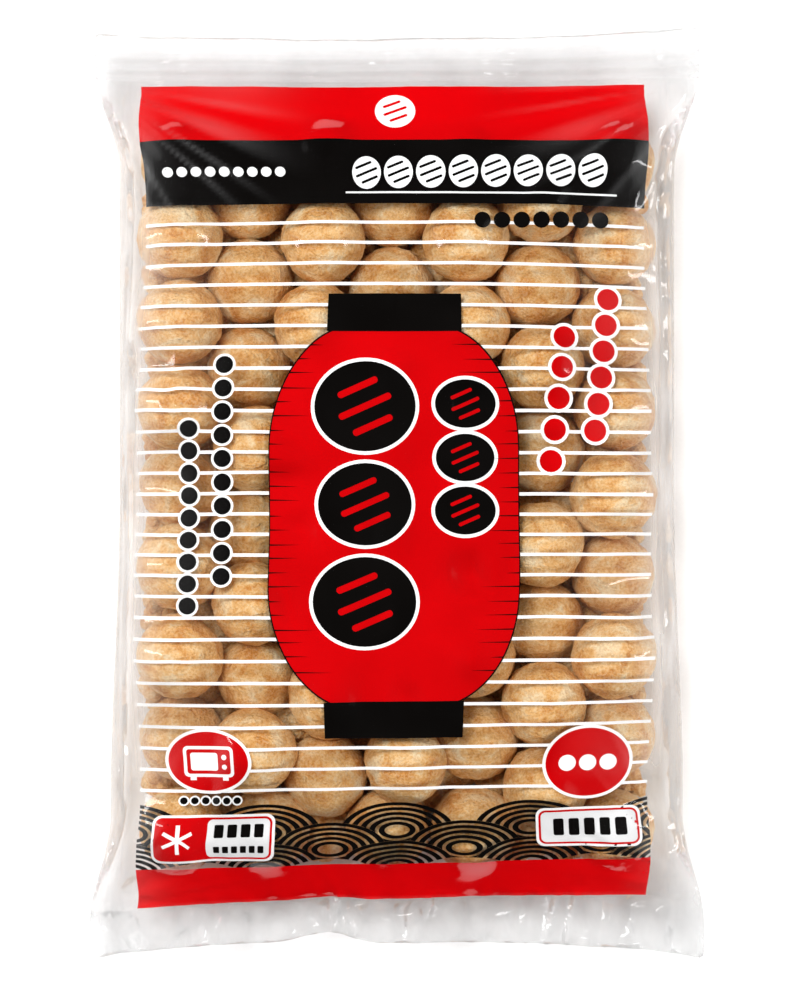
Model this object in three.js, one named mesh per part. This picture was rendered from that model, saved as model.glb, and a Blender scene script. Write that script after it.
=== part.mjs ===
// A sealed clear pillow bag filled with one crowded layer of takoyaki balls.
// It lies on its back: X runs across the bag, Y along it and Z up through its
// thickness, in millimetres, with the origin under its middle.
//
// The bag is one closed solid, the outside of the film. Its upper side drapes
// over the balls, its underside lies flat, and both meet along two soft side
// folds and in a thin wavy fin past each end seal.
import * as THREE from "three";
import { mergeVertices } from "three/addons/utils/BufferGeometryUtils.js";

const { clamp, smoothstep, lerp } = THREE.MathUtils;

// ---- driving dimensions ----------------------------------------------------
const BALL = { diameter: 34.6, spread: 0.03 }; // about 17 g each
const COLUMNS = [9, 9, 8, 9, 8, 9, 9]; // balls in each column, left to right
const FIELD = { halfWidth: 103.5, top: 149, bottom: -151, height: 47 };
const NEAR_END = { reach: 40, rise: 1.5 }; // how far from the ends the film holds balls down
const SCATTER = { seed: 7, x: 9, y: 12, z: 20, passes: 90, settle: 0.2 };

const WIDTH = { waist: 221, topFin: 241, bottomFin: 245.4, belly: 7 };
const TOP_EDGE = { middle: 181.5, cornerRise: 3.45, skew: 1.25 };
const BOTTOM_EDGE = { middle: 178.8, cornerRise: 7.4, notch: 5, notchX: -22.8, notchWidth: 9 };
const SEAL_LINE = 163; // from the middle to each end seal
const FIN = { height: 18, thickness: 1.2, wave: 2.2, ripple: 0.9 };
const SIDE_FOLD = { height: 17, top: 20, under: 15 }; // rise, and width of the rounding
const END_SLOPE = { top: 32, under: 34 }; // from the seal line to the full thickness
const DRAPE = { radius: 40, soft: 1.4, sag: 29 }; // film over the balls and between them
const GATHER = { depth: 1.4, folds: 11, reach: 26 }; // creases from the four corners

const GRID = { across: 48, along: 70 };
const FILM_COLOR = "#e2d4bd";

// ---- the balls under the film ----------------------------------------------
// Staggered columns are shaken by a seeded draw and pushed apart until the
// balls only touch, so some ride up on their neighbours.
function packBalls() {
  let state = SCATTER.seed;
  const draw = () => {
    state = (state * 16807) % 2147483647;
    return state / 2147483647;
  };
  const signed = () => 2 * draw() - 1;
  const radius = BALL.diameter / 2;
  const side = FIELD.halfWidth - radius;
  const length = FIELD.top - FIELD.bottom - BALL.diameter;
  const balls = [];
  COLUMNS.forEach((count, column) => {
    const x = -side + (2 * side * column) / (COLUMNS.length - 1);
    const stagger = (column % 2) / 2;
    for (let i = 0; i < count; i++) {
      const y = FIELD.top - radius - (length * (i + stagger)) / (count - 0.5);
      balls.push({
        r: radius * (1 + BALL.spread * signed()),
        x: x + SCATTER.x * signed(),
        y: y + SCATTER.y * signed(),
        z: radius + SCATTER.z * draw(),
      });
    }
  });
  for (let pass = 0; pass < SCATTER.passes; pass++) settle(balls);
  return balls;
}

function settle(balls) {
  for (const ball of balls) ball.z -= SCATTER.settle;
  for (let i = 0; i < balls.length; i++) {
    for (let j = i + 1; j < balls.length; j++) pushApart(balls[i], balls[j]);
  }
  for (const ball of balls) {
    const side = FIELD.halfWidth - ball.r;
    ball.x = clamp(ball.x, -side, side);
    ball.y = clamp(ball.y, FIELD.bottom + ball.r, FIELD.top - ball.r);
    const toEnd = Math.min(FIELD.top - ball.r - ball.y, ball.y - FIELD.bottom - ball.r);
    const free = smoothstep(toEnd, 0, NEAR_END.reach);
    ball.z = clamp(ball.z, ball.r, lerp(ball.r + NEAR_END.rise, FIELD.height - ball.r, free));
  }
}

function pushApart(a, b) {
  const distance = Math.hypot(b.x - a.x, b.y - a.y, b.z - a.z);
  const overlap = a.r + b.r - distance;
  if (overlap <= 0) return;
  for (const axis of ["x", "y", "z"]) {
    const push = ((b[axis] - a[axis]) / distance) * (overlap / 2);
    a[axis] -= push;
    b[axis] += push;
  }
}

// ---- the outline seen from above -------------------------------------------
// The filled body draws the film in, so the bag is narrow along its middle and
// keeps its flat width only at the two fins.
function halfWidth(y) {
  const waist = WIDTH.waist / 2;
  const belly = (WIDTH.belly / 2) * smoothstep(-y, 0, 120);
  const topFlare = (WIDTH.topFin / 2 - waist) * smoothstep(y, 130, 169);
  const bottomFlare = (WIDTH.bottomFin / 2 - waist - WIDTH.belly / 2) * smoothstep(-y, 128, 172);
  return waist + belly + topFlare + bottomFlare;
}

function topEdge(s) {
  return TOP_EDGE.middle + TOP_EDGE.cornerRise * Math.abs(s) ** 2.2 + TOP_EDGE.skew * s;
}

function bottomEdge(s) {
  const x = (s * WIDTH.bottomFin) / 2;
  const notch = Math.exp(-(((x - BOTTOM_EDGE.notchX) / BOTTOM_EDGE.notchWidth) ** 2));
  const corner = BOTTOM_EDGE.cornerRise * Math.abs(s) ** 3;
  return -(BOTTOM_EDGE.middle + corner - BOTTOM_EDGE.notch * notch);
}

// ---- the heights of the film -----------------------------------------------
const balls = packBalls();

// The film rests on the ball tops as soft caps and sags a little between them.
function drape(x, y) {
  let sum = Math.exp(DRAPE.sag / DRAPE.soft);
  for (const ball of balls) {
    const drop = ((x - ball.x) ** 2 + (y - ball.y) ** 2) / (2 * DRAPE.radius);
    sum += Math.exp((ball.z + ball.r - drop) / DRAPE.soft);
  }
  return DRAPE.soft * Math.log(sum);
}

// 0 on the side folds and the seal lines, 1 over the filled body.
function fullness(x, y, sideWidth, endLength) {
  const inside = clamp((halfWidth(y) - Math.abs(x)) / sideWidth, 0, 1);
  const side = Math.sqrt(1 - (1 - inside) ** 2);
  const end = clamp((SEAL_LINE - Math.abs(y)) / endLength, 0, 1);
  return side * Math.sin((end * Math.PI) / 2);
}

// The height of the sheet where the upper and lower film meet: the side folds
// rise to about half the thickness, and so do the fins, which wave.
function meetingHeight(x, y) {
  const toFin = smoothstep(Math.abs(y), 110, SEAL_LINE);
  const phase = y > 0 ? 0.4 : 2.1;
  const wave = FIN.wave * Math.sin(x / 13 + phase) + FIN.ripple * Math.sin(x / 4.7 + 2 * phase);
  const corner = Math.atan2(Math.abs(y) - 150, halfWidth(y) - Math.abs(x) - 8);
  const reach = Math.hypot(Math.abs(y) - 150, halfWidth(y) - Math.abs(x) - 8);
  const gather = GATHER.depth * Math.cos(GATHER.folds * corner) * Math.exp(-reach / GATHER.reach);
  return lerp(SIDE_FOLD.height, FIN.height + wave, toFin) + gather;
}

function filmHeight(x, y, upper) {
  const middle = meetingHeight(x, y);
  const half = FIN.thickness / 2;
  if (upper) {
    const full = fullness(x, y, SIDE_FOLD.top, END_SLOPE.top);
    return lerp(middle + half, drape(x, y), full);
  }
  const full = fullness(x, y, SIDE_FOLD.under, END_SLOPE.under);
  return (middle - half) * (1 - full);
}

// ---- the bag ---------------------------------------------------------------
// A thin box of one layer, divided into a grid, is bent into the bag.
function bendToBag(box) {
  const place = box.attributes.position;
  for (let i = 0; i < place.count; i++) {
    const upper = place.getZ(i) > 0;
    const step = (value, count) => {
      const index = Math.round((value + 0.5) * count);
      return upper ? index : coarse(index, count);
    };
    const s = (2 * step(place.getX(i), GRID.across)) / GRID.across - 1;
    const t = (2 * step(place.getY(i), GRID.along)) / GRID.along - 1;
    const y = t > 0 ? t * topEdge(s) : -t * bottomEdge(s);
    const crowded = 0.55 * s + 0.45 * Math.sin((s * Math.PI) / 2); // closer lines near the folds
    const x = halfWidth(y) * crowded;
    place.setXYZ(i, x, y, filmHeight(x, y, upper));
  }
}

// The flat underside needs only every second line of the grid: the others fold
// onto their neighbour, except along the rim, where both sheets share them.
function coarse(index, count) {
  const inner = index > 1 && index < count;
  return inner && index % 2 ? index - 1 : index;
}

function withoutEmptyTriangles(geometry) {
  const index = geometry.index.array;
  const kept = [];
  for (let i = 0; i < index.length; i += 3) {
    const [a, b, c] = index.slice(i, i + 3);
    if (a !== b && b !== c && c !== a) kept.push(a, b, c);
  }
  geometry.setIndex(kept);
  return geometry;
}

function makeBag() {
  const box = new THREE.BoxGeometry(1, 1, 1, GRID.across, GRID.along, 1);
  box.deleteAttribute("normal");
  box.deleteAttribute("uv");
  const closed = mergeVertices(box);
  bendToBag(closed);
  const geometry = withoutEmptyTriangles(mergeVertices(closed));
  geometry.computeVertexNormals();
  const film = new THREE.MeshStandardMaterial({ color: FILM_COLOR, roughness: 0.25, metalness: 0 });
  const bag = new THREE.Mesh(geometry, film);
  bag.name = "bag";
  return bag;
}

const pack = new THREE.Group();
pack.add(makeBag());
export default pack;
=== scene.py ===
# %% [markdown]
# # A clear bag of takoyaki
# A sealed pillow bag of clear film, with a red and black print on its upper
# side and about sixty fried batter balls inside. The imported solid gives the
# outside of the filled bag. Here it is replaced by what the bag really is: the
# balls, a thin film around them, and the ink on it. Everything is in metres in
# the solid's own frame: X across the bag, Y along it, Z up.

# %% Load the frame
import math

import bpy
import numpy as np
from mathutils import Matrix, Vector
from mathutils.bvhtree import BVHTree


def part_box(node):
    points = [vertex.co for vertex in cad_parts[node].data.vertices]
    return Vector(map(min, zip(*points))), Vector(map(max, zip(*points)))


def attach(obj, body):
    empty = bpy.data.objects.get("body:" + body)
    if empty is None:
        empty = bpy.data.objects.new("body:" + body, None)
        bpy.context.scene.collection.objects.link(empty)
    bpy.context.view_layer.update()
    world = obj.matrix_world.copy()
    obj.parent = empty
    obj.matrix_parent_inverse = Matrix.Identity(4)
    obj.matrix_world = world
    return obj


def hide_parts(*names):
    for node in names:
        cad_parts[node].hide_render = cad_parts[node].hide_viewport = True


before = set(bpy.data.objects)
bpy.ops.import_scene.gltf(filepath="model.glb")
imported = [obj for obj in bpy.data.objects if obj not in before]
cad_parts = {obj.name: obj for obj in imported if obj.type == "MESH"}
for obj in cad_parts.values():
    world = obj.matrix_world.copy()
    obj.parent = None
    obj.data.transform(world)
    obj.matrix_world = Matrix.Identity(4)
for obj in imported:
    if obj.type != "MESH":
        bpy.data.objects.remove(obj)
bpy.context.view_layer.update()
MM = 0.001
print("frame loaded, nodes:", sorted(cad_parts))


# %% Small helpers
def set_all(thing, values):
    """Sets several properties of one thing."""
    for key, value in values.items():
        setattr(thing, key, value)


def select_only(*pieces):
    """Selects only these pieces and makes the first one active."""
    bpy.ops.object.select_all(action="DESELECT")
    for piece in pieces:
        piece.select_set(True)
    bpy.context.view_layer.objects.active = pieces[0]


def edit(piece, select="SELECT"):
    """Opens one piece in edit mode with all of it selected, or nothing."""
    select_only(piece)
    bpy.ops.object.mode_set(mode="EDIT")
    bpy.ops.mesh.select_all(action=select)


def done():
    bpy.ops.object.mode_set(mode="OBJECT")


def primitive(kind, **settings):
    """Adds one primitive mesh, with nothing else selected."""
    bpy.ops.object.select_all(action="DESELECT")
    getattr(bpy.ops.mesh, f"primitive_{kind}_add")(**settings)
    return bpy.context.object


def new_piece(name):
    """Names the piece that was just made."""
    piece = bpy.context.object
    piece.name = name
    piece.data.name = name
    return piece


def apply_place():
    """Moves the selected pieces' place, turn and scale into their meshes."""
    bpy.ops.object.transform_apply(location=True, rotation=True, scale=True)


def copy_to(place, master):
    """A copy of a piece, with a mesh of its own, at a place."""
    copy = master.copy()
    copy.data = master.data.copy()
    bpy.context.collection.objects.link(copy)
    copy.location = place
    return copy


def join(pieces, name):
    """Joins pieces into one mesh at the origin."""
    select_only(*pieces)
    apply_place()
    bpy.ops.object.join()
    return new_piece(name)


def modify(piece, kind, **settings):
    """Adds one modifier with its settings and applies it."""
    select_only(piece)
    modifier = piece.modifiers.new(kind.lower(), kind)
    set_all(modifier, settings)
    bpy.ops.object.modifier_apply(modifier=modifier.name)


def points(piece):
    """The piece's vertices as rows of x, y, z."""
    flat = np.empty(len(piece.data.vertices) * 3)
    piece.data.vertices.foreach_get("co", flat)
    return flat.reshape(-1, 3)


def set_points(piece, rows):
    piece.data.vertices.foreach_set("co", np.asarray(rows, float).ravel())
    piece.data.update()


# %% [markdown]
# ## Colours and nodes
# Colours are sRGB hex values, as a paint chart gives them, and one function
# turns them into the linear light that shader sockets expect. The others add
# nodes with their settings and links.


# %% Colour and node helpers
def linear(hex_color):
    """Turns "#rrggbb" into linear red, green, blue and alpha 1."""
    channels = [int(hex_color[i : i + 2], 16) / 255 for i in (1, 3, 5)]
    curve = [c / 12.92 if c <= 0.04045 else ((c + 0.055) / 1.055) ** 2.4 for c in channels]
    return (*curve, 1.0)


def new_material(name):
    mat = bpy.data.materials.new(name)
    mat.use_nodes = True
    mat.node_tree.nodes.clear()
    return mat


def add(mat, kind, settings=None, **inputs):
    """Adds a node, sets its properties, then sets or links its inputs."""
    tree = mat.node_tree
    node = tree.nodes.new("ShaderNode" + kind)
    set_all(node, settings or {})
    for key, value in inputs.items():
        socket = node.inputs[int(key[1:])] if key[1:].isdigit() else node.inputs[key.replace("_", " ")]
        if isinstance(value, bpy.types.NodeSocket):
            tree.links.new(value, socket)
        else:
            socket.default_value = value
    return node


def compute(mat, operation, *values, kind="Math"):
    """The result of one sum on numbers, or on vectors with kind "VectorMath"."""
    inputs = {f"_{i}": value for i, value in enumerate(values)}
    return add(mat, kind, {"operation": operation}, **inputs).outputs[0]


def mix_colors(mat, share, first, second):
    return add(mat, "Mix", {"data_type": "RGBA"}, _0=share, _6=first, _7=second).outputs[2]


def ramp(mat, factor, stops):
    """A colour ramp through (position, hex colour) stops."""
    node = add(mat, "ValToRGB", Fac=factor)
    elements = node.color_ramp.elements
    while len(elements) < len(stops):
        elements.new(0.5)
    for element, (position, color) in zip(elements, stops):
        element.position = position
        element.color = linear(color)
    return node.outputs["Color"]


def plain_surface(mat, **inputs):
    shader = add(mat, "BsdfPrincipled", **inputs)
    add(mat, "OutputMaterial", Surface=shader.outputs["BSDF"])
    return mat


# %% [markdown]
# ## Where the balls lie
# Frozen takoyaki settle in one layer in their bag, with some riding up on their
# neighbours. The rule is the solid's own, so the balls sit exactly under its
# bumps: staggered columns are shaken by a seeded draw, then pushed apart pass
# by pass until the balls only touch.

# %% Settle the balls
BALL_DIAMETER = 34.6
BALL_SPREAD = 0.03
COLUMNS = [9, 9, 8, 9, 8, 9, 9]
FIELD_SIDE, FIELD_TOP, FIELD_BOTTOM, FIELD_HEIGHT = 103.5, 149, -151, 47
END_REACH, END_RISE = 40, 1.5  # near the seals the film holds the balls down
SHAKE = (9, 12, 20)
PASSES, DROP = 90, 0.2


def draws(state=7):
    """An endless run of seeded numbers between 0 and 1."""
    while True:
        state = state * 16807 % 2147483647
        yield state / 2147483647


def settle_balls():
    """Rows of x, y, z and radius in millimetres, one for each ball."""
    draw = draws()
    radius = BALL_DIAMETER / 2
    side = FIELD_SIDE - radius
    length = FIELD_TOP - FIELD_BOTTOM - BALL_DIAMETER
    balls = []
    for column, count in enumerate(COLUMNS):
        x = -side + 2 * side * column / (len(COLUMNS) - 1)
        for i in range(count):
            y = FIELD_TOP - radius - length * (i + column % 2 / 2) / (count - 0.5)
            r = radius * (1 + BALL_SPREAD * (2 * next(draw) - 1))
            dx, dy, dz = 2 * next(draw) - 1, 2 * next(draw) - 1, next(draw)
            balls.append([x + SHAKE[0] * dx, y + SHAKE[1] * dy, radius + SHAKE[2] * dz, r])
    balls = np.array(balls)
    for _ in range(PASSES):
        balls[:, 2] -= DROP
        for i in range(len(balls)):
            for j in range(i + 1, len(balls)):
                apart = balls[j, :3] - balls[i, :3]
                distance = math.sqrt(apart @ apart)
                overlap = balls[i, 3] + balls[j, 3] - distance
                if overlap > 0:
                    balls[i, :3] -= apart * overlap / 2 / distance
                    balls[j, :3] += apart * overlap / 2 / distance
        r = balls[:, 3]
        balls[:, 0] = np.clip(balls[:, 0], r - FIELD_SIDE, FIELD_SIDE - r)
        balls[:, 1] = np.clip(balls[:, 1], FIELD_BOTTOM + r, FIELD_TOP - r)
        to_end = np.minimum(FIELD_TOP - r - balls[:, 1], balls[:, 1] - FIELD_BOTTOM - r)
        free = np.clip(to_end / END_REACH, 0, 1)
        free = free * free * (3 - 2 * free)
        ceiling = (r + END_RISE) * (1 - free) + (FIELD_HEIGHT - r) * free
        balls[:, 2] = np.clip(balls[:, 2], r, ceiling)
    return balls * MM


balls = settle_balls()
print(len(balls), "balls, highest top at", round(float((balls[:, 2] + balls[:, 3]).max()), 4), "m")

# %% [markdown]
# ## The takoyaki
# A takoyaki is batter turned in a round iron mould: a ball with soft dents
# where it was poked round and a fine wrinkled skin. A cube rounded to a ball
# has even faces and no poles, which suits displacement. One is copied to every
# place with a turn of its own, and noise in space then displaces the joined
# mesh, so that no two come out alike.


# %% Model the takoyaki
def make_noise(name, kind, size, **settings):
    noise = bpy.data.textures.new(name, kind)
    set_all(noise, {"noise_scale": size * MM, **settings})
    return noise


def round_balls(cuts, scale=1):
    """A cube rounded to a ball, copied to every ball's place and size."""
    first = primitive("cube", size=2)
    edit(first)
    bpy.ops.mesh.subdivide(number_cuts=cuts)
    bpy.ops.transform.tosphere(value=1)
    done()
    unit = float(np.linalg.norm(points(first), axis=1).mean())
    copies = []
    for x, y, z, r in balls * scale:
        copy = copy_to((x, y, z), first)
        copy.scale = [r / unit] * 3
        copies.append(copy)
    bpy.data.objects.remove(first)
    return copies


copies = round_balls(cuts=15)
draw = draws(7)
for copy in copies:
    copy.rotation_euler = [math.tau * next(draw) for _ in range(3)]
takoyaki = join(copies, "takoyaki")

dents = make_noise("soft_dents", "CLOUDS", 17, noise_depth=1)
modify(takoyaki, "DISPLACE", texture=dents, texture_coords="LOCAL", strength=1.8 * MM, mid_level=0.85)
folds = make_noise("skin_folds", "MUSGRAVE", 7, musgrave_type="RIDGED_MULTIFRACTAL", octaves=3)
modify(takoyaki, "DISPLACE", texture=folds, texture_coords="LOCAL", strength=0.55 * MM, mid_level=0.8)
bpy.ops.object.shade_smooth()
print("takoyaki:", len(takoyaki.data.polygons), "faces")

# %% [markdown]
# ## The fried batter
# The skin is thin fried batter: golden tan, paler where the mould left it soft,
# browner where the oil reached it. It is matt with a faint oily sheen, and
# puckered all over: branching wrinkles some 3 mm apart, with brown valleys and
# pale crests, and a fibrous grain of half a millimetre. The wrinkle crests are
# also mixed towards white as a painted highlight, for the oily sheen.


# %% Fried batter material
def fried_batter():
    mat = new_material("fried_batter")
    place = add(mat, "TexCoord").outputs["Object"]
    patches = add(mat, "TexNoise", Vector=place, Scale=95.0, Detail=3.0, Roughness=0.62, Distortion=0.5)
    golden = ramp(mat, patches.outputs["Fac"], [
        (0.36, "#da9242"), (0.45, "#efb469"), (0.55, "#fbce8e"), (0.67, "#ffe9c0")])
    wrinkles = add(mat, "TexNoise", {"noise_type": "RIDGED_MULTIFRACTAL"}, Vector=place, Scale=290.0,
                   Detail=2.0, Roughness=0.6, Distortion=0.8)
    grain = add(mat, "TexNoise", Vector=place, Scale=950.0, Detail=4.0, Roughness=0.65)
    crests = ramp(mat, grain.outputs["Fac"], [(0.38, "#ac642b"), (0.49, "#f2bf7c"), (0.60, "#fff2d4")])
    skin = mix_colors(mat, 0.28, golden, crests)
    # Wrinkle crests are mixed towards near white: partly paler batter, partly a painted highlight for an oily
    # sheen that the softboxes don't mirror.
    pale = add(mat, "MapRange", Value=wrinkles.outputs["Fac"], From_Min=0.7, From_Max=1.45, To_Max=0.68)
    color = mix_colors(mat, pale.outputs["Result"], skin, linear("#fff5e2"))
    relief = compute(mat, "MULTIPLY_ADD", wrinkles.outputs["Fac"], 0.8, grain.outputs["Fac"])
    bump = add(mat, "Bump", Strength=1.0, Distance=0.0011, Height=relief)
    return plain_surface(mat, Base_Color=color, Roughness=0.5, Normal=bump.outputs["Normal"])


takoyaki.data.materials.append(fried_batter())
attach(takoyaki, "root")
print("takoyaki finished with", takoyaki.data.materials[0].name)

# %% [markdown]
# ## Crumbs
# Balls that rub together shed bits of crust, which gather in the gaps and close
# most of the view to the back of the bag. One lump is copied to places that no
# ball covers, then displaced.

# %% Scatter the crumbs
CRUMB_FIELD, CRUMB_STEP, CRUMB_JITTER = (97, 142), 3.1, 1.2
CRUMB_LOW, CRUMB_HIGH = 4, 10
CRUMB_SMALL, CRUMB_LARGE = 2.2 * MM, 5 * MM
CRUMB_UNDER = 1.2 * MM  # how far under a ball's outline a crumb may lie


def crumb_places():
    """Rows of x, y, z and radius for crumbs that fill the gaps between the balls."""
    draw = draws(91)
    places = []
    for x in np.arange(-CRUMB_FIELD[0], CRUMB_FIELD[0] + 0.1, CRUMB_STEP):
        for y in np.arange(-CRUMB_FIELD[1], CRUMB_FIELD[1] + 0.1, CRUMB_STEP):
            jitter = [CRUMB_JITTER * (2 * next(draw) - 1) for _ in range(2)]
            z = CRUMB_LOW + (CRUMB_HIGH - CRUMB_LOW) * next(draw)
            here = np.array([x + jitter[0], y + jitter[1], z]) * MM
            flat_gap = (np.hypot(*(balls[:, :2] - here[:2]).T) - balls[:, 3]).min()
            gap = (np.linalg.norm(balls[:, :3] - here, axis=1) - balls[:, 3]).min()
            if flat_gap > -CRUMB_UNDER:
                r = min(max(1.2 * gap, CRUMB_SMALL), CRUMB_LARGE)
                places.append((*here[:2], max(here[2], 1.2 * r + 1.2 * MM), r))  # above the ground
    return places


lump = primitive("ico_sphere", subdivisions=2, radius=1)
draw = draws(17)
copies = []
for x, y, z, r in crumb_places():
    copy = copy_to((x, y, z), lump)
    copy.scale = [r * (0.7 + 0.5 * next(draw)) for _ in range(3)]
    copy.rotation_euler = [math.tau * next(draw) for _ in range(3)]
    copies.append(copy)
bpy.data.objects.remove(lump)
crumbs = join(copies, "batter_crumbs")
chips = make_noise("chips", "CLOUDS", 3.2, noise_depth=1)
modify(crumbs, "DISPLACE", texture=chips, texture_coords="LOCAL", strength=2.4 * MM, mid_level=0.5)
crumbs.data.materials.append(takoyaki.data.materials[0])
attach(crumbs, "root")
print(len(copies), "crumbs,", len(crumbs.data.polygons), "faces")

# %% [markdown]
# ## The film
# The bag was one flat sleeve of film. Filled, it is drawn in along its sides,
# keeps its flat width only at the two fins, and gathers into creases there.
# Each sheet is a grid whose lines are the flat film's own, laid on the packed
# solid. It can then be relaxed as cloth, and the print can be drawn flat and
# carried over.

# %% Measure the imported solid
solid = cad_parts["bag"]
solid_tree = BVHTree.FromPolygons(
    [v.co for v in solid.data.vertices], [p.vertices for p in solid.data.polygons])
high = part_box("bag")[1]


def height(x, y, upper=True):
    """The solid's upper or lower surface at a place, or None outside it."""
    start, way = (0.2, -1) if upper else (-0.1, 1)
    hit = solid_tree.ray_cast(Vector((x, y, start)), Vector((0, 0, way)))[0]
    return hit.z if hit else None


def reach(x, y, along):
    """How far the outline goes from the middle along "x" or "y", by halving."""
    sign = 1 if (x if along == "x" else y) > 0 else -1
    near, far = (0.08, 0.2) if along == "x" else (0.17, 0.2)
    for _ in range(18):
        middle = (near + far) / 2
        inside = height(sign * middle, y) if along == "x" else height(x, sign * middle)
        near, far = (middle, far) if inside is not None else (near, middle)
    return near


FLAT_HALF_WIDTH = high.x
FLAT_SEAL = 172 * MM  # on the flat film, from the middle to an end seal
SEAL = 163 * MM  # the same seal on the filled bag
FLAT_HALF_LENGTH = FLAT_SEAL + 18.5 * MM
rows_y = np.linspace(-0.185, 0.185, 149)  # where the half width is measured
half_widths = np.array([min(reach(1, y, "x"), reach(-1, y, "x")) for y in np.clip(rows_y, -0.172, 0.178)])
print("half width at the waist", round(float(half_widths.min()), 4), "m, at the fins", round(FLAT_HALF_WIDTH, 4))


# %% Lay a flat point on the solid
FOLD_RISE, FOLD_ROUND, END_SLOPE = 21 * MM, 20 * MM, 32 * MM
# The round shoulders draw the film in, each corner by its own share of the half width.
SHOULDER_DRAW = ((0.062, 0.072), (0.05, 0.033))  # left and right, each below and above
SHOULDER_AT, SHOULDER_REACH = (118 * MM, 103 * MM), 38 * MM


def across(u, y):
    """Where the flat film's line u lies across the bag at this y."""
    half = np.interp(y, rows_y, half_widths)
    x = np.linspace(0, half, 160)
    end = min(max((SEAL - abs(y)) / END_SLOPE, 0), 1)
    inside = np.minimum((half - x) / FOLD_ROUND, 1)
    z = FOLD_RISE * math.sin(end * math.pi / 2) * np.sqrt(1 - (1 - inside) ** 2)
    along = np.concatenate([[0], np.cumsum(np.hypot(np.diff(x), np.diff(z)))])
    right, above = int(np.sign(u) > 0), int(y > 0)
    inwards = SHOULDER_DRAW[right][above] * math.exp(-(((abs(y) - SHOULDER_AT[above]) / SHOULDER_REACH) ** 2))
    inwards *= 1 - (u / FLAT_HALF_WIDTH) ** 8
    return np.sign(u) * np.interp(np.abs(u) / FLAT_HALF_WIDTH, along / along[-1], x) * (1 - inwards)


columns_x = np.linspace(-FLAT_HALF_WIDTH, FLAT_HALF_WIDTH, 61)
edge_x = np.clip(columns_x, -0.119, 0.119)  # the upper fin is the narrower one
top_reach = np.array([reach(x, 1, "y") for x in edge_x])
bottom_reach = np.array([reach(x, -1, "y") for x in edge_x])

MIDDLE_REACH = (0.1788, 0.1815)  # the bag's ends on the centre line, below and above
ASKEW = 0.027  # how far the lower end's lines turn
BOW, BOW_AT, BOW_REACH = 1.4 * MM, 105 * MM, 35 * MM  # the upper shoulder's lines bend


def along(u, v):
    """Where the flat film's line v lies along the bag at this u."""
    to_edge = abs(v) / FLAT_HALF_LENGTH
    middle = MIDDLE_REACH[int(v > 0)]
    edge = np.interp(u, columns_x, top_reach if v > 0 else bottom_reach)
    reach_here = middle + (edge - middle) * to_edge**10
    drawn_in = (FLAT_SEAL - SEAL) * min(abs(v) / FLAT_SEAL, 1) ** 4
    laid = np.sign(v) * (abs(v) - drawn_in) * reach_here / (FLAT_HALF_LENGTH - FLAT_SEAL + SEAL)
    if v < 0:
        return laid + ASKEW * u * (v / 0.15) ** 2 * (1 - to_edge**12)
    return laid - BOW * (u / 0.1) ** 2 * math.exp(-(((v - BOW_AT) / BOW_REACH) ** 2))


def lay(u, v, upper):
    """A flat film point's place on the upper or lower side of the solid."""
    y = float(along(u, v))
    x = float(across(u, y))
    z = height(x * 0.998, y * 0.998, upper)
    return x, y, z


# %% [markdown]
# ## Relax the upper sheet as cloth
# Laid on the solid, the upper sheet is smooth. Real film is stiff in its plane,
# so it pulls taut between the balls and breaks into creases. Cloth simulation
# finds them: the flat film gives the rest lengths, the side folds and end seals
# are pinned, and it falls on plain copies of the balls.

# %% Make the upper sheet
FILM_STEP = 3.3 * MM
CELLS_U = round(2 * FLAT_HALF_WIDTH / FILM_STEP)
CELLS_V = round(2 * FLAT_HALF_LENGTH / FILM_STEP)


def make_sheet(name, is_upper):
    """A grid laid on one side of the solid, and its flat coordinates."""
    primitive("grid", x_subdivisions=CELLS_U, y_subdivisions=CELLS_V, size=2)
    sheet = new_piece(name)
    flat = points(sheet) * (FLAT_HALF_WIDTH, FLAT_HALF_LENGTH, 0)
    set_points(sheet, [lay(u, v, is_upper) for u, v, _ in flat])
    return sheet, flat


upper, flat_upper = make_sheet("film", True)
print("upper sheet:", CELLS_U, "by", CELLS_V, "cells")

# %% Let it settle
SIM_SCALE = 10  # cloth keeps distances in whole millimetres, so it is simulated larger
SIM_FRAMES = 34


def make_core():
    """The balls as one plain collider, at the simulation's scale."""
    core = join(round_balls(cuts=7, scale=SIM_SCALE), "core")
    core.modifiers.new("collision", "COLLISION")
    core.collision.thickness_outer = 0.01
    core.collision.cloth_friction = 2
    return core


SIDEWAYS = 0.3  # the share of the cloth's sliding that is kept, for straight printed lines
CLEARANCE = 0.5 * MM  # between a ball and the film


def lift_clear(rows):
    """Raises film points that a ball would touch."""
    for x, y, z, r in balls:
        clear = (r + CLEARANCE) ** 2 - (rows[:, 0] - x) ** 2 - (rows[:, 1] - y) ** 2
        near = (clear > 0) & (rows[:, 2] > z)
        rows[near, 2] = np.maximum(rows[near, 2], z + np.sqrt(clear[near]))
    return rows


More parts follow.
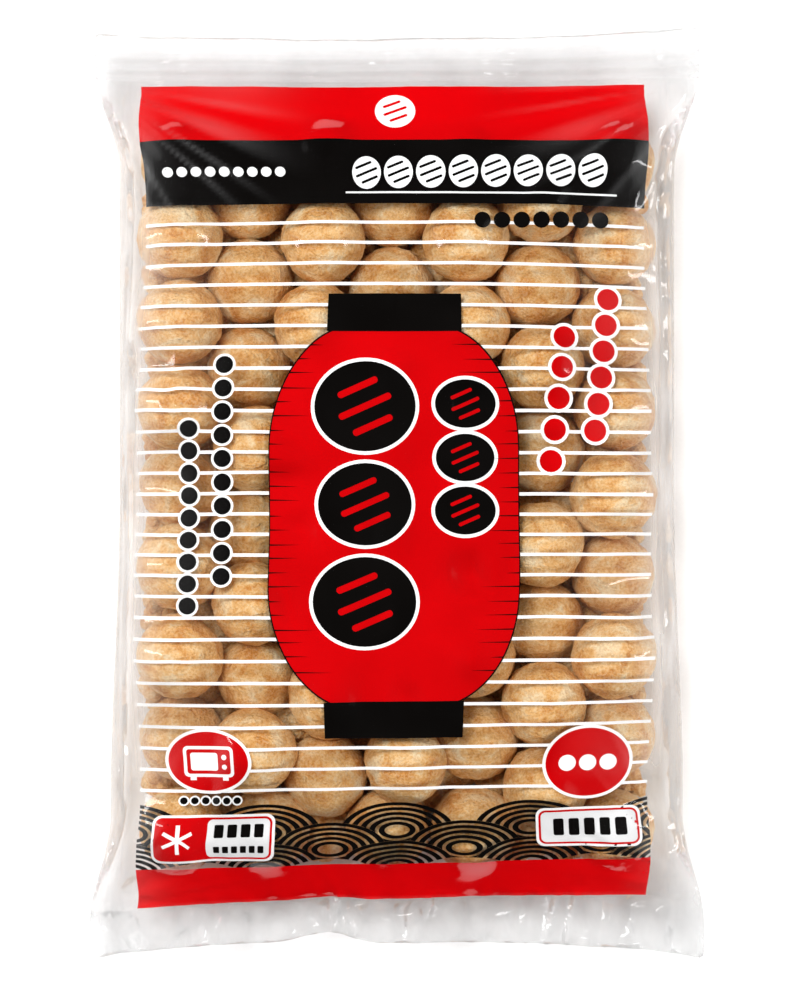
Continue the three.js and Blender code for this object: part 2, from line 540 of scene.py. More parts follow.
def relax(sheet, flat):
    """Runs the cloth and keeps its result in the mesh."""
    laid = points(sheet)
    set_points(sheet, laid * SIM_SCALE)
    sheet.shape_key_add(name="laid")
    rest = sheet.shape_key_add(name="flat")
    rest.data.foreach_set("co", (flat * SIM_SCALE).ravel())
    folds = np.abs(flat[:, 0]) > FLAT_HALF_WIDTH * 0.9999
    seals = np.abs(flat[:, 1]) >= FLAT_SEAL
    pins = sheet.vertex_groups.new(name="pins")
    pins.add([int(i) for i in np.flatnonzero(folds | seals)], 1.0, "REPLACE")
    core = make_core()
    cloth = sheet.modifiers.new("cloth", "CLOTH")
    set_all(cloth.settings, {
        "rest_shape_key": rest, "vertex_group_mass": "pins", "quality": 6, "mass": 0.05, "shrink_min": 0.015,
        "tension_stiffness": 40, "compression_stiffness": 40, "shear_stiffness": 20, "bending_stiffness": 0.1,
        "tension_damping": 10, "compression_damping": 10, "shear_damping": 10, "bending_damping": 0.5,
        "air_damping": 2})
    cloth.settings.effector_weights.gravity = 0.4
    set_all(cloth.collision_settings, {"distance_min": 0.012, "collision_quality": 3})
    scene = bpy.context.scene
    for moment in range(1, SIM_FRAMES + 1):
        scene.frame_set(moment)
    settled = sheet.evaluated_get(bpy.context.evaluated_depsgraph_get())
    result = points(settled) / SIM_SCALE
    scene.frame_set(1)
    sheet.modifiers.clear()
    sheet.shape_key_clear()
    sheet.vertex_groups.clear()
    bpy.data.objects.remove(core)
    move = (result - laid) * (SIDEWAYS, SIDEWAYS, 1)
    set_points(sheet, laid + move)
    return float(np.abs(move).max())


print("the film moved up to", round(relax(upper, flat_upper), 4), "m")
set_points(upper, lift_clear(points(upper)))

# %% [markdown]
# ## Close the bag
# The lower sheet lies flat under the balls and isn't relaxed. Both sheets are
# subdivided once, which rounds their creases, and get the fine crumple of a
# sealed end: sharp folds that run out of the seals, along the side folds and
# out of the upper corners, and the ribs that the sealing bar pressed in.

# %% Draw the creases
FIN_CREASE, SIDE_CREASE, FAN_CREASE = 1.0 * MM, 0.8 * MM, 1.6 * MM
RIB_PITCH, RIB_DEPTH = 4.6 * MM, 0.2 * MM


def flat_coordinates(sheet):
    """Every vertex's place on the flat film, read back from the sheet's UV map."""
    loops = sheet.data.loops
    corner = np.empty(len(loops), int)
    loops.foreach_get("vertex_index", corner)
    uv = np.empty(len(loops) * 2)
    sheet.data.uv_layers.active.data.foreach_get("uv", uv)
    flat = np.empty((len(sheet.data.vertices), 2))
    flat[corner] = (uv.reshape(-1, 2) * 2 - 1) * (FLAT_HALF_WIDTH, FLAT_HALF_LENGTH)
    return flat


def ripples(place, size, seed):
    """A smooth random curve along a line, between -1 and 1."""
    chance = np.random.default_rng(seed)
    knots = np.arange(-0.2 - size, 0.2 + 2 * size, size)
    values = chance.uniform(-1, 1, len(knots))
    step = np.clip((place - knots[0]) / size, 0, len(knots) - 1.001)
    left = step.astype(int)
    blend = (1 - np.cos((step - left) * math.pi)) / 2
    return values[left] * (1 - blend) + values[left + 1] * blend


def ridges(place, size, seed):
    """Sharp crests with round valleys, as in creased film."""
    return 1 - 2 * np.abs(ripples(place, size, seed))


def rise(value, start, width):
    """0 up to a start, then evenly up to 1."""
    return np.clip((value - start) / width, 0, 1)


def nearness(u, v):
    """How near each place is to an end seal and to a side fold, from 0 to 1."""
    to_seal = np.abs(v) / FLAT_SEAL
    to_fold = np.abs(u) / FLAT_HALF_WIDTH
    seal = 0.12 * rise(to_seal, 0.85, 0.1) + 0.88 * rise(to_seal, 0.985, 0.03)
    fold = rise(to_fold, 0.84, 0.07) * np.clip((1 - to_fold) / 0.03, 0, 1)
    return seal, fold * np.clip((1.02 - to_seal) / 0.1, 0, 1)


def creases(u, v):
    """How far the film stands off its laid place, in metres."""
    seal, fold = nearness(u, v)
    lean = u + 0.35 * (np.abs(v) - FLAT_SEAL) * np.sign(u)
    out_of_seal = np.where(v > 0, 0.6 * ridges(lean, 6.5 * MM, 11), 1.3 * ridges(lean, 7.5 * MM, 12))
    wander = 3 * MM * ripples(v, 55 * MM, 31) + 1.5 * MM * ripples(v, 17 * MM, 32)
    along_fold = ridges(u + np.sign(u) * wander, 4.2 * MM, 33)
    corner_u, corner_v = FLAT_HALF_WIDTH - np.abs(u), FLAT_SEAL - np.abs(v)
    distance = np.hypot(corner_u, corner_v)
    turn = np.arctan2(corner_v, corner_u) * 60 * MM - 190 * MM + 95 * MM * ((u > 0) + 2 * (v > 0))
    fan = ridges(turn, 6 * MM, 41) * np.exp(-distance / (42 * MM)) * np.clip(distance / (18 * MM), 0, 1)
    ribs = np.where(v > FLAT_SEAL, np.sin(v * math.tau / RIB_PITCH), 0)
    return (FIN_CREASE * seal * out_of_seal + SIDE_CREASE * fold * along_fold
            + FAN_CREASE * fan * (corner_v > 0) + RIB_DEPTH * ribs)


# %% Subdivide, crumple and close
crushed = make_noise("crushed_film", "MUSGRAVE", 15, musgrave_type="RIDGED_MULTIFRACTAL", octaves=2)
facets = make_noise("film_facets", "VORONOI", 9, weight_1=-1, weight_2=1)


def finish_sheet(sheet):
    modify(sheet, "SUBSURF", levels=1, render_levels=1, uv_smooth="NONE")
    flat = flat_coordinates(sheet)
    rows = points(sheet)
    rows[:, 2] += creases(flat[:, 0], flat[:, 1])
    set_points(sheet, rows)
    seal, fold = nearness(flat[:, 0], flat[:, 1])
    loose = sheet.vertex_groups.new(name="loose")
    weights = np.maximum(np.where(flat[:, 1] > 0, 0.45, 1) * seal, 0.3 * fold)  # least at the upper fin
    for i, weight in enumerate(weights):
        loose.add([i], float(weight), "REPLACE")
    common = {"texture_coords": "LOCAL", "direction": "Z", "vertex_group": "loose"}
    modify(sheet, "DISPLACE", texture=crushed, strength=2.0 * MM, mid_level=0.8, **common)
    modify(sheet, "DISPLACE", texture=facets, strength=1.1 * MM, mid_level=0.3, **common)
    sheet.vertex_groups.clear()
    return flat


flat_upper = finish_sheet(upper)
LINES_U = np.linspace(-FLAT_HALF_WIDTH, FLAT_HALF_WIDTH, 2 * CELLS_U + 1)
LINES_V = np.linspace(-FLAT_HALF_LENGTH, FLAT_HALF_LENGTH, 2 * CELLS_V + 1)
table = np.empty((len(LINES_V), len(LINES_U), 3))
columns = np.rint((flat_upper[:, 0] + FLAT_HALF_WIDTH) / (LINES_U[1] - LINES_U[0])).astype(int)
lines = np.rint((flat_upper[:, 1] + FLAT_HALF_LENGTH) / (LINES_V[1] - LINES_V[0])).astype(int)
table[lines, columns] = points(upper)

lower, _ = make_sheet("film_underside", False)
finish_sheet(lower)
edit(lower)
bpy.ops.mesh.flip_normals()
done()
film = join([upper, lower], "film")
edit(film, "DESELECT")
bpy.ops.mesh.select_non_manifold()
bpy.ops.mesh.bridge_edge_loops()
bpy.ops.mesh.select_all(action="SELECT")
bpy.ops.mesh.normals_make_consistent(inside=False)
done()
bpy.ops.object.shade_smooth()
print("film:", len(film.data.polygons), "faces, grid", table.shape)

# %% [markdown]
# ## The clear film
# Oriented polypropylene, about 50 microns thick: clear, glossy, and milky where
# it is sealed or folded. So thin a sheet doesn't bend light, so it isn't glass
# but a mix: most light passes straight through, some is mirrored, more at
# grazing angles, and some is scattered, half of it back. How milky and how
# crushed it is, is painted on the mesh, and the milky share also carries a
# painted sheen in streaks out of the upper corners. Crushed film's facets and
# the upper seal's ribs are finer than the mesh, so they tilt its normal, and
# the ribs also vary the haze in lines, partly as a painted highlight.


# %% Film material
def keep_on_film(name, amount):
    """Stores a number at each of the film's vertices, for its material to read."""
    film.data.attributes.new(name, "FLOAT", "POINT").data.foreach_set("value", amount)


def paint_film():
    """How milky and how crushed the film is, from nothing at the window's middle, with a painted sheen in streaks
    out of the upper corners.
    """
    u, v = flat_coordinates(film).T
    to_fold = np.abs(u) / FLAT_HALF_WIDTH
    to_seal = np.abs(v) / FLAT_SEAL
    side = rise(to_fold, 0.86, 0.04)
    edge = rise(to_fold, 0.95, 0.05)
    end = rise(to_seal, 0.998, 0.012)
    window = np.clip((0.118 - np.abs(v)) / 0.006, 0.15, 1)
    frost = rise(to_fold, 0.5, 0.35) * (0.6 + 0.4 * ripples(v + 0.6 * u, 23 * MM, 51))
    veil = rise(to_fold, 0.7, 0.15) ** 2
    milky = window * (0.06 * frost + 0.26 * veil * (1 - side)) + side * (0.09 + 0.12 * edge)
    milky += 0.06 * side * ridges(u, 2.6 * MM, 53)
    # Streaks out of the upper corners, stronger on the left where the key light stands, add to the milky share: a
    # painted sheen.
    corner_u, corner_v = FLAT_HALF_WIDTH - np.abs(u), FLAT_SEAL - v
    turn = np.arctan2(corner_v, corner_u) * 60 * MM - 100 * MM * (u < 0)
    painted_sheen_streaks = np.clip(ridges(turn, 9 * MM, 61) - 0.1, 0, 1)
    painted_sheen_streaks *= np.exp(-(((np.hypot(corner_u, corner_v) - 52 * MM) / (22 * MM)) ** 2))
    milky += np.where(u < 0, 0.1, 0.06) * painted_sheen_streaks
    # The milky share holds the real haze and also the painted sheen of the corner streaks.
    keep_on_film("milky", np.maximum(milky, 0.12 * end))
    keep_on_film("crushed", np.maximum(end * np.where(v > 0, 0.35, 1), 0.35 * side))


FACET = (8 * MM, 12 * MM)  # how wide and long the flat facets of crushed film are


def clear_film():
    mat = new_material("oriented_polypropylene_film")
    milky = add(mat, "Attribute", {"attribute_name": "milky"}).outputs["Fac"]
    crushed = add(mat, "Attribute", {"attribute_name": "crushed"}).outputs["Fac"]
    flat = add(mat, "TexCoord").outputs["UV"]
    size = (2 * FLAT_HALF_WIDTH / FACET[0], 2 * FLAT_HALF_LENGTH / FACET[1], 0)
    cells = add(mat, "TexVoronoi", {"voronoi_dimensions": "2D"}, Scale=1.0,
                Vector=compute(mat, "MULTIPLY", flat, size, kind="VectorMath"))
    lean = compute(mat, "SUBTRACT", cells.outputs["Color"], (0.5, 0.5, 0.5), kind="VectorMath")
    lean = add(mat, "VectorMath", {"operation": "SCALE"}, _0=lean, Scale=crushed).outputs["Vector"]
    smooth = add(mat, "NewGeometry").outputs["Normal"]
    facet = compute(mat, "MULTIPLY_ADD", lean, (0.7, 0.7, 0), smooth, kind="VectorMath")
    length = add(mat, "SeparateXYZ", Vector=flat).outputs["Y"]
    bars = compute(mat, "MULTIPLY", length, 2 * FLAT_HALF_LENGTH * math.tau / RIB_PITCH)
    on_fin = add(mat, "MapRange", Value=length, From_Min=0.953, From_Max=0.956, To_Max=0.3)
    bars = compute(mat, "MULTIPLY", compute(mat, "SINE", bars), on_fin.outputs["Result"])
    tilt = add(mat, "CombineXYZ", Y=bars).outputs["Vector"]
    facet = compute(mat, "ADD", facet, tilt, kind="VectorMath")
    normal = compute(mat, "NORMALIZE", facet, kind="VectorMath")
    scuffs = add(mat, "MapRange", Value=cells.outputs["Distance"], From_Max=0.8, To_Min=0.7, To_Max=-0.5)
    uneven = compute(mat, "MULTIPLY_ADD", scuffs.outputs["Result"], crushed, 1.0)
    # The ribs also vary the haze in lines across the upper fin: partly the whiter sealed film, partly a painted
    # highlight.
    uneven = compute(mat, "MULTIPLY_ADD", bars, 2.0, uneven)
    veil = compute(mat, "MULTIPLY", milky, uneven)
    mirror = add(mat, "BsdfGlossy", Color=(1, 1, 1, 1), Roughness=0.09, Normal=normal)
    front = add(mat, "BsdfDiffuse", Color=linear("#fcfcfc"))
    through = add(mat, "BsdfTranslucent", Color=linear("#fcfcfc"))
    haze = add(mat, "MixShader", _0=0.5, _1=front.outputs["BSDF"], _2=through.outputs["BSDF"])
    tint = mix_colors(mat, crushed, linear("#f9f9f9"), linear("#f4f4f4"))
    clear = add(mat, "BsdfTransparent", Color=tint)
    edge = add(mat, "Fresnel", IOR=1.5, Normal=normal).outputs["Fac"]
    shine = compute(mat, "MINIMUM", compute(mat, "MULTIPLY", edge, 1.2), 0.45)
    body = add(mat, "MixShader", _0=veil, _1=clear.outputs["BSDF"], _2=haze.outputs["Shader"])
    sheet = add(mat, "MixShader", _0=shine, _1=body.outputs["Shader"], _2=mirror.outputs["BSDF"])
    add(mat, "OutputMaterial", Surface=sheet.outputs["Shader"])
    return mat


paint_film()
film.data.materials.clear()
film.data.materials.append(clear_film())
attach(film, "root")
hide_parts("bag")
print("film finished with", film.data.materials[0].name)

# %% [markdown]
# ## The print
# Ink on the inner side of the upper sheet. Each field of it is a thin piece,
# sharp at any distance: drawn flat in millimetres, cut along the film's own
# grid lines, and carried over to the filled bag, so it creases wherever the
# film does. What overlaps is stacked a few hundredths of a millimetre apart.


# %% Draw flat, then lay on the film
def plate(left, right, bottom, top, corner=0):
    """A flat rectangle in millimetres, with rounded corners if asked."""
    middle = ((left + right) / 2 * MM, (bottom + top) / 2 * MM, 0)
    piece = primitive("plane", size=1, location=middle)
    piece.scale = ((right - left) * MM, (top - bottom) * MM, 1)
    apply_place()
    if corner:
        edit(piece)
        bpy.ops.mesh.bevel(offset=corner * MM, segments=6 if corner < 10 else 24, affect="VERTICES")
        done()
    return piece


def oval(x, y, radius_x, radius_y, sides=56):
    piece = primitive("circle", vertices=sides, radius=MM, fill_type="NGON", location=(x * MM, y * MM, 0))
    piece.scale = (radius_x, radius_y, 1)
    apply_place()
    return piece


def film_place(u, v, depth):
    """The filled bag's points for flat points, a little under the upper sheet."""
    column = np.clip((u - LINES_U[0]) / (LINES_U[1] - LINES_U[0]), 0, len(LINES_U) - 1.0001)
    line = np.clip((v - LINES_V[0]) / (LINES_V[1] - LINES_V[0]), 0, len(LINES_V) - 1.0001)
    i, j = column.astype(int), line.astype(int)
    a, b = (column - i)[:, None], (line - j)[:, None]

    def blend(grid):
        low_row = grid[j, i] * (1 - a) + grid[j, i + 1] * a
        high_row = grid[j + 1, i] * (1 - a) + grid[j + 1, i + 1] * a
        return low_row * (1 - b) + high_row * b

    return blend(table) - blend(sheet_normals) * depth


slope_u, slope_v = np.gradient(table, axis=1), np.gradient(table, axis=0)
sheet_normals = np.cross(slope_u, slope_v)
sheet_normals /= np.linalg.norm(sheet_normals, axis=2, keepdims=True)


INK_GAP = 0.06 * MM


def cut_along(place, way, drop_beyond=False):
    """Cuts the piece in edit mode by a plane."""
    bpy.ops.mesh.select_all(action="SELECT")
    bpy.ops.mesh.bisect(plane_co=place, plane_no=way, clear_outer=drop_beyond)


def lay_ink(shapes, name, ink, layer):
    """Joins flat shapes, cuts them to the film's grid and lays them under the film."""
    piece = join(shapes, "print_" + name)
    low_corner, high_corner = points(piece).min(0), points(piece).max(0)
    edit(piece)
    for axis, lines in ((0, LINES_U), (1, LINES_V)):
        for place in lines[(lines > low_corner[axis]) & (lines < high_corner[axis])]:
            on_line, across_line = [0, 0, 0], [0, 0, 0]
            on_line[axis], across_line[axis] = place, 1
            cut_along(on_line, across_line)
    done()
    flat = points(piece)
    set_points(piece, film_place(flat[:, 0], flat[:, 1], (layer + 2) * INK_GAP))
    modify(piece, "TRIANGULATE")
    select_only(piece)
    bpy.ops.object.shade_smooth()
    piece.data.materials.append(ink)
    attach(piece, "root")


# %% [markdown]
# ## Ink
# Flexo ink is a few microns thick, even and opaque. Its gloss comes from the
# film above it, so it is satin itself. The faint unevenness of a printing plate
# keeps the large fields from looking like flat paint.


# %% Ink materials
def ink(name, color, shade, painted_backlight=None):
    mat = new_material(name)
    place = add(mat, "TexCoord").outputs["Object"]
    cloud = add(mat, "TexNoise", Vector=place, Scale=28.0, Detail=2.0)
    tone = ramp(mat, cloud.outputs["Fac"], [(0.35, shade), (0.65, color)])
    # Past the food the red is mixed to a brighter tone: painted light from below.
    if painted_backlight:
        length = compute(mat, "ABSOLUTE", add(mat, "SeparateXYZ", Vector=place).outputs["Y"])
        backlight_share = add(mat, "MapRange", Value=length, From_Min=0.135, From_Max=0.15)
        tone = mix_colors(mat, backlight_share.outputs["Result"], tone, linear(painted_backlight))
    return plain_surface(mat, Base_Color=tone, Roughness=0.5, Specular_IOR_Level=0.0)


# The bands past the food are painted a brighter red: painted light, standing for the white light that comes
# through them from below.
red_ink = ink("red_flexo_ink", "#d0040a", "#c60308", painted_backlight="#da0209")
black_ink = ink("black_flexo_ink", "#0a0807", "#0e0c0b")
white_ink = ink("white_flexo_ink", "#ffffff", "#fbfbfa")
grey_ink = ink("pale_grey_flexo_ink", "#ededed", "#e6e6e6")

# %% [markdown]
# ## Bands and stripes
# Two red bands close the print at the seals, a black band carries the heading,
# and thin white stripes cross the window between them, under all else.

# %% Print the bands and stripes
PRINT_LEFT, PRINT_RIGHT = -105.0, 101.0
TOP, RED_TO_BLACK, BLACK_END = 170.8, 144.3, 115.9
BOTTOM, LOWER_RED = -172.4, -154.0
STRIPES, STRIPE_TOP, STRIPE_PITCH, STRIPE_WIDTH = 28, 107.9, 8.43, 1.3
STRIPE_LIFT = 3.3  # how much higher than evenly spaced the stripes below the middle stand

lay_ink([plate(PRINT_LEFT, PRINT_RIGHT, RED_TO_BLACK, TOP)], "top_band", red_ink, 2)
lay_ink([plate(PRINT_LEFT, PRINT_RIGHT, BLACK_END, RED_TO_BLACK)], "heading_band", black_ink, 2)
lay_ink([plate(PRINT_LEFT, PRINT_RIGHT, BOTTOM, LOWER_RED)], "bottom_band", red_ink, 2)
stripe_places = [
    STRIPE_TOP - STRIPE_PITCH * i + STRIPE_LIFT * math.exp(-(((i - 18.5) / 6.5) ** 2)) for i in range(STRIPES)]
stripes = [plate(PRINT_LEFT, PRINT_RIGHT, v - STRIPE_WIDTH / 2, v + STRIPE_WIDTH / 2) for v in stripe_places]
lay_ink(stripes, "stripes", white_ink, 5)
print("bands and", STRIPES, "stripes printed")

# %% [markdown]
# ## The paper lantern
# The traditional sign of a street food stall, drawn as a real one is built: a
# black cap and foot, a red paper body with round shoulders, and bamboo hoops
# that show as thin dark lines from both edges. The body is a plate with round
# corners, stretched until they are as tall as the shoulders.

# %% Print the lantern
LANTERN_X, LANTERN_HALF, LANTERN_TOP, LANTERN_BOTTOM = -1.0, 48.3, 63.6, -82.7
SHOULDER_X, SHOULDER_Y = 33.4, 48.5
CAP_HALF, CAP_HEIGHT = 26.8, 15.0
OVER = 2.2  # how far the round shoulders would rise above the caps' edges


def lantern_body(grow):
    """The body, grown by a margin: an oval-shouldered plate cut off at the caps."""
    half = LANTERN_HALF + grow
    tall = (LANTERN_TOP - LANTERN_BOTTOM) / 2 + OVER + grow
    stretch = SHOULDER_Y / SHOULDER_X
    body = plate(-half, half, -tall / stretch, tall / stretch, SHOULDER_X)
    body.scale = (1, stretch, 1)
    body.location = (LANTERN_X * MM, (LANTERN_TOP + LANTERN_BOTTOM) / 2 * MM, 0)
    apply_place()
    edit(body)
    for place, way in ((LANTERN_TOP + grow, 1), (LANTERN_BOTTOM - grow, -1)):
        cut_along((0, place * MM, 0), (0, way, 0), drop_beyond=True)
    done()
    return body


def lantern_edge(v):
    """Half the body's width at a height on it."""
    top, bottom = LANTERN_TOP + OVER - SHOULDER_Y, LANTERN_BOTTOM - OVER + SHOULDER_Y
    over = max(v - top, bottom - v, 0) / SHOULDER_Y
    return LANTERN_HALF - SHOULDER_X * (1 - math.sqrt(1 - over**2))


def hoop(side, v, length, thickness):
    """A thin line from the edge inwards that ends in a point."""
    edge = LANTERN_X + side * (lantern_edge(v) + 0.2)
    line = plate(-length / 2, length / 2, v - thickness / 2, v + thickness / 2)
    for vertex in line.data.vertices:
        if vertex.co.x * side < 0:
            vertex.co.y = v * MM
    line.location.x = (edge - side * length / 2) * MM
    return line


draw = draws(23)
hoops = []
for step in range(24):
    v = 58 - 5.6 * step
    for side in (-1, 1):
        hoops.append(hoop(side, v + 0.8 * next(draw), 5 + 13 * next(draw) ** 1.4, 0.55))
caps = [plate(LANTERN_X - CAP_HALF - 0.3, LANTERN_X + CAP_HALF - 0.3, LANTERN_TOP, LANTERN_TOP + CAP_HEIGHT),
        plate(LANTERN_X - CAP_HALF - 0.9, LANTERN_X + CAP_HALF + 0.3, LANTERN_BOTTOM - CAP_HEIGHT, LANTERN_BOTTOM)]
lay_ink([lantern_body(0.45)], "lantern_outline", black_ink, 4)
lay_ink([lantern_body(0)], "lantern_paper", red_ink, 3)
lay_ink(hoops, "lantern_hoops", black_ink, 2)
lay_ink(caps, "lantern_caps", black_ink, 2)
print("lantern printed with", len(hoops), "hoop lines")


# %% [markdown]
# ## Heading and marks
# Where a printed bag has words, this one has plain shapes of the same weight
# and place: balls with three strokes of sauce for the heading and down the
# lantern, and beads for the small lines, with the white edge that keeps ink
# readable over food.


# %% Print the heading and marks
def beads(places, radius, sides=20):
    return [oval(x, y, radius, radius, sides) for x, y in places]


def row(start, end, count):
    """Evenly spaced places from one point to another."""
    (x0, y0), (x1, y1) = start, end
    return [(x0 + (x1 - x0) * i / (count - 1), y0 + (y1 - y0) * i / (count - 1)) for i in range(count)]


def edged_beads(places, radius, edge, name, color):
    """Beads of one ink with a white edge around them."""
    lay_ink(beads(places, radius + edge), name + "_edge", white_ink, 2)
    lay_ink(beads(places, radius), name, color, 1)


def strokes(x, y, radius):
    """Three slanting strokes of sauce across a ball."""
    made = []
    for offset, length in ((-0.42, 0.95), (0, 1.25), (0.42, 0.95)):
        stroke = plate(-radius * length / 2, radius * length / 2, -radius * 0.075, radius * 0.075, radius * 0.07)
        stroke.rotation_euler.z = math.radians(24)
        stroke.location = ((x - offset * radius * 0.4) * MM, (y + offset * radius) * MM, 0)
        made.append(stroke)
    return made


heading = row((-12.6, 129.3), (78.9, 131.0), 8)
underline = plate(-21.3, 88.9, 120.2, 121.0)
small_beads = beads(row((-94.5, 130.4), (-48.3, 129.9), 9), 2.2)
white_shapes = [oval(x, y, 5.9, 7.2) for x, y in heading] + [underline, oval(-0.8, 158.3, 8.2, 8.2)] + small_beads
lay_ink(white_shapes, "heading", white_ink, 1)
lay_ink(sum((strokes(x, y, 7.6) for x, y in heading), []), "heading_strokes", black_ink, 0)
lay_ink(strokes(-0.8, 158.3, 8.2), "emblem_strokes", red_ink, 0)
lay_ink(beads(row((34.5, 108.8), (82.5, 110.0), 7), 3.4), "subheading", black_ink, 1)

left_columns = row((-68.1, 50.4), (-68.1, -32.6), 10) + row((-81.2, 25.3), (-81.2, -44.2), 9)
edged_beads(left_columns, 3.4, 1.0, "left_beads", black_ink)
right_columns = row((84.6, 77.3), (77.6, 24.7), 6) + row((66.4, 61.9), (60.2, 12.7), 5)
edged_beads(right_columns, 4.4, 1.3, "right_beads", red_ink)
print("heading and", len(left_columns) + len(right_columns), "beads printed")

# %% Print the sauced balls on the lantern
sauced = [(-12.5, 34.2, 17.6, 1.12), (-12.5, -4.2, 16.2, 1.12), (-12.5, -42.8, 17.8, 1.12),
          (26.6, 35.2, 9.5, 1.25), (26.6, 14.2, 9.2, 1.25), (26.6, -6.6, 9.5, 1.25)]
edges = [oval(x, y, wide * r + 1.4, r + 1.4) for x, y, r, wide in sauced]
lay_ink(edges, "sauced_balls_edge", white_ink, 2)
lay_ink([oval(x, y, wide * r, r) for x, y, r, wide in sauced], "sauced_balls", black_ink, 1)
lay_ink(sum((strokes(x, y, r) for x, y, r, _ in sauced), []), "sauce_strokes", red_ink, 0)
print(len(sauced), "sauced balls printed")

# %% [markdown]
# ## Badges and labels
# Two oval badges and two rounded labels over the foot of the window, with signs
# that belong to no one: an oven, three balls, a snow star, and bars where
# figures would be.

# %% Print the badges and labels
OVEN = (-76.0, -106.7)
COUNT = (76.2, -109.4)
FREEZER = (-97.2, -50.2, -149.6, -130.4)
WEIGHT = (56.6, 96.3, -146.5, -130.2)


def grown(box, margin, corner):
    left, right, bottom, top = box
    return plate(left - margin, right + margin, bottom - margin, top + margin, corner)


x, y = OVEN
oven_frame = plate(x - 10.2, x + 10.2, y - 6.4, y + 6.4, 2)
oven_feet = [plate(x + side * 6.6 - 1.2, x + side * 6.6 + 1.2, y - 7.8, y - 6.2) for side in (-1, 1)]
backs = [oval(x, y, 17.6, 13.6), oval(*COUNT, 18.2, 16.1), grown(FREEZER, 1.1, 3.6), grown(WEIGHT, 1.1, 3.6)]
lay_ink(backs, "badge_backs", white_ink, 3)
fields = [oval(x, y, 16.3, 12.3), oval(*COUNT, 16.9, 14.8), grown(FREEZER, 0, 3), grown(WEIGHT, 0, 3)]
lay_ink(fields, "badge_fields", red_ink, 2)
pale = [plate(-76.5, FREEZER[1] - 0.9, FREEZER[2] + 0.9, FREEZER[3] - 0.9, 2.2), grown(WEIGHT, -0.9, 2.2)]
lay_ink(pale, "label_fields", grey_ink, 1)

balls_sign = beads(row((COUNT[0] - 8.2, COUNT[1]), (COUNT[0] + 8.2, COUNT[1]), 3), 3.5)
snow_arms = []
for turn in (0, 60, 120):
    arm = plate(-6.3, 6.3, -0.75, 0.75)
    arm.rotation_euler.z = math.radians(turn + 30)
    arm.location = (-88.2 * MM, -140 * MM, 0)
    snow_arms.append(arm)
lay_ink([oven_frame, *oven_feet, *balls_sign, *snow_arms], "badge_signs", white_ink, 1)
oven_door = [plate(x - 8.9, x + 8.9, y - 5.1, y + 5.1, 1.2)]
lay_ink(oven_door, "oven_front", red_ink, 0)
oven_knobs = beads([(x + 6.3, y + 2), (x + 6.3, y - 2)], 1.1, 16)
oven_window = [plate(x - 7.4, x + 3.6, y - 3.7, y + 3.7, 1), *oven_knobs]
lay_ink(oven_window, "oven_window", white_ink, -0.7)

bars = [plate(-73.6 + 5.4 * i, -69.8 + 5.4 * i, -139.4, -133.6, 0.6) for i in range(4)]
bars += [plate(-73.6 + 3.6 * i, -71.2 + 3.6 * i, -146.6, -143.4, 0.4) for i in range(6)]
bars += [plate(62.5 + 6.2 * i, 66.7 + 6.2 * i, -142.4, -134.3, 0.8) for i in range(5)]
lay_ink(bars, "label_bars", black_ink, 0)
under_oven = row((-86.5, -123.2), (-64.8, -123.2), 6)
edged_beads(under_oven, 1.5, 0.7, "oven_beads", black_ink)
print("badges and labels printed")

# %% [markdown]
# ## Wave scales
# Seigaiha, blue sea waves, is a traditional pattern of overlapping round
# scales. Each is five flattened rings here. The film stays clear between rings,
# so where a row hides the row behind it, that part has to be truly absent: the
# rings are given thickness, Boolean modifiers cut the nearer rows away, and
# only the faces that look up are kept.

# %% Print the wave scales
SCALE_X, SCALE_Y = 22.8, 12.6
CENTRE_X, CENTRE_Y = 5.1, 2.4
RINGS, INK_SHARE = 5, 0.62
SCALE_PITCH, WAVE_TOP, ROW_STEP = 53.6, -137.9, 8.65
WAVE_ROWS = 3


def scale_ring(index):
    """One ring of a scale about the origin: two ellipses bridged."""
    edges = []
    for where in (index, index + INK_SHARE):
        share = 1 - where / (RINGS - 1 + INK_SHARE)
        radius_x = CENTRE_X + (SCALE_X - CENTRE_X) * share
        radius_y = CENTRE_Y + (SCALE_Y - CENTRE_Y) * share
        edge = primitive("circle", vertices=72, radius=MM, fill_type="NOTHING")
        edge.scale = (radius_x, radius_y, 1)
        edges.append(edge)
    ring = join(edges, "ring")
    edit(ring)
    bpy.ops.mesh.bridge_edge_loops()
    done()
    return ring


def thicken(piece, thickness):
    edit(piece)
    bpy.ops.mesh.normals_make_consistent(inside=False)
    done()
    modify(piece, "SOLIDIFY", thickness=thickness, offset=0)
    return piece


def spread(master, which):
    """Copies of a scale, side by side along one row."""
    shift = 0.5 * (which % 2)
    y = (WAVE_TOP - ROW_STEP * which) * MM
    return [copy_to((SCALE_PITCH * (i + shift) * MM, y, 0), master) for i in range(-3, 3)]


one_scale = join([scale_ring(i) for i in range(RINGS)], "one_scale")
thicken(one_scale, 1 * MM)
one_cover = oval(0, 0, SCALE_X + 0.05, SCALE_Y + 0.05, 72)
one_cover = thicken(join([one_cover], "one_cover"), 3 * MM)
waves = []
for which in range(WAVE_ROWS):
    scales = join(spread(one_scale, which), "wave_row")
    for nearer in range(which + 1, WAVE_ROWS + 1):
        covers = join(spread(one_cover, nearer), "wave_covers")
        modify(scales, "BOOLEAN", operation="DIFFERENCE", object=covers, solver="EXACT")
        bpy.data.objects.remove(covers)
    waves.append(scales)
bpy.data.objects.remove(one_scale)
bpy.data.objects.remove(one_cover)
wave_piece = join(waves, "waves")
edit(wave_piece, "DESELECT")
done()
bpy.context.tool_settings.mesh_select_mode = (False, False, True)
for face in wave_piece.data.polygons:
    face.select = face.normal.z < 0.5
bpy.ops.object.mode_set(mode="EDIT")
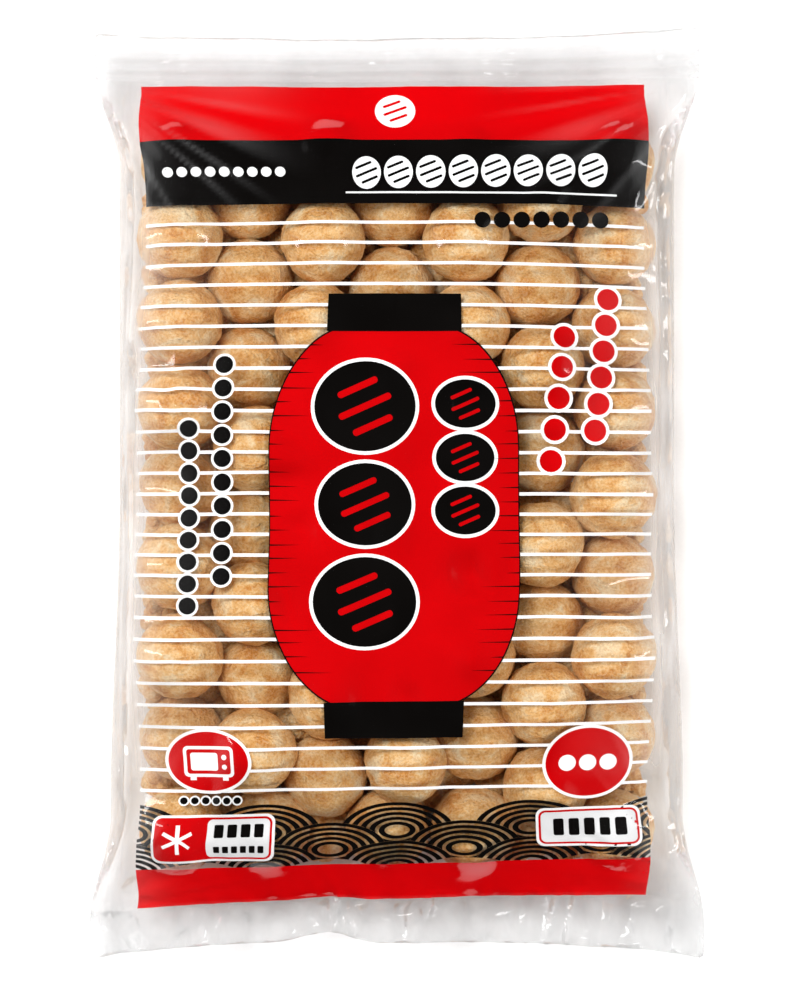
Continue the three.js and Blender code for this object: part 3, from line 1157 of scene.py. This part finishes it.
bpy.ops.mesh.delete(type="FACE")
for edge, way in ((PRINT_LEFT, -1), (PRINT_RIGHT, 1)):
    cut_along((edge * MM, 0, 0), (way, 0, 0), drop_beyond=True)
cut_along((0, (LOWER_RED - 3) * MM, 0), (0, -1, 0), drop_beyond=True)
done()
bpy.context.tool_settings.mesh_select_mode = (True, False, False)
lay_ink([wave_piece], "waves", black_ink, 4)
print("waves printed:", len(wave_piece.data.polygons), "faces")


# %% [markdown]
# ## Studio
# A large soft key light stands at the upper left and a fill opposite. The film
# would mirror them as a white veil, so as with crossed polarisers they give
# light and no reflection. Only creases can mirror the low narrow strip at each
# side, and the walls are pale at the sides under a dark ceiling.

# %% Floor
primitive("plane", size=3.2, location=(0, 0, -0.3 * MM))
floor = new_piece("floor")
apply_place()


def pale_paper():
    mat = new_material("pale_paper")
    place = add(mat, "TexCoord").outputs["Object"]
    fibre = add(mat, "TexNoise", Vector=place, Scale=900.0, Detail=3.0)
    tone = ramp(mat, fibre.outputs["Fac"], [(0.3, "#fcfcfc"), (0.7, "#ffffff")])
    return plain_surface(mat, Base_Color=tone, Roughness=0.9)


floor.data.materials.append(pale_paper())
print("floor of", floor.data.materials[0].name)


# %% Lights and walls
def softbox(name, place, size, watts, mirrored=True):
    lamp = bpy.data.lights.new(name, "AREA")
    set_all(lamp, {"shape": "RECTANGLE", "size": size[0], "size_y": size[1], "energy": watts})
    light = bpy.data.objects.new(name, lamp)
    bpy.context.collection.objects.link(light)
    light.location = place
    light.rotation_euler = (-Vector(place)).to_track_quat("-Z", "Y").to_euler()
    light.visible_glossy = mirrored


softbox("key_softbox", (-0.62, 0.72, 1.8), (0.9, 0.9), 43, mirrored=False)
softbox("fill_softbox", (0.85, -0.9, 1.6), (1.0, 1.0), 22, mirrored=False)
for name, side in (("left_strip", -1), ("right_strip", 1)):
    softbox(name, (1.6 * side, 0.1, 0.8), (0.12, 1.4), 5)

world = bpy.data.worlds.new("studio_walls")
bpy.context.scene.world = world
world.use_nodes = True
world.node_tree.nodes.clear()
world.cycles.sampling_method = "NONE"  # the softboxes do nearly all of the lighting
way = add(world, "SeparateXYZ", Vector=add(world, "TexCoord").outputs["Generated"])
aside = compute(world, "ABSOLUTE", way.outputs["X"])
walls = ramp(world, aside, [(0.0, "#202020"), (0.6, "#343434"), (0.95, "#ffffff")])
glow = add(world, "Background", Color=walls, Strength=1.0)
add(world, "OutputWorld", Surface=glow.outputs["Background"])
bpy.context.scene.view_settings.view_transform = "Standard"
print("studio lit")

# %% Camera
# It looks straight down on the bag from 1.5 m, a little off the middle.
camera = bpy.data.objects.new("camera", bpy.data.cameras.new("camera"))
bpy.context.collection.objects.link(camera)
camera.data.lens = 135
camera.location = (1.2 * MM, -2.4 * MM, 1.513)
bpy.context.scene.camera = camera
print("camera at", camera.location[:])
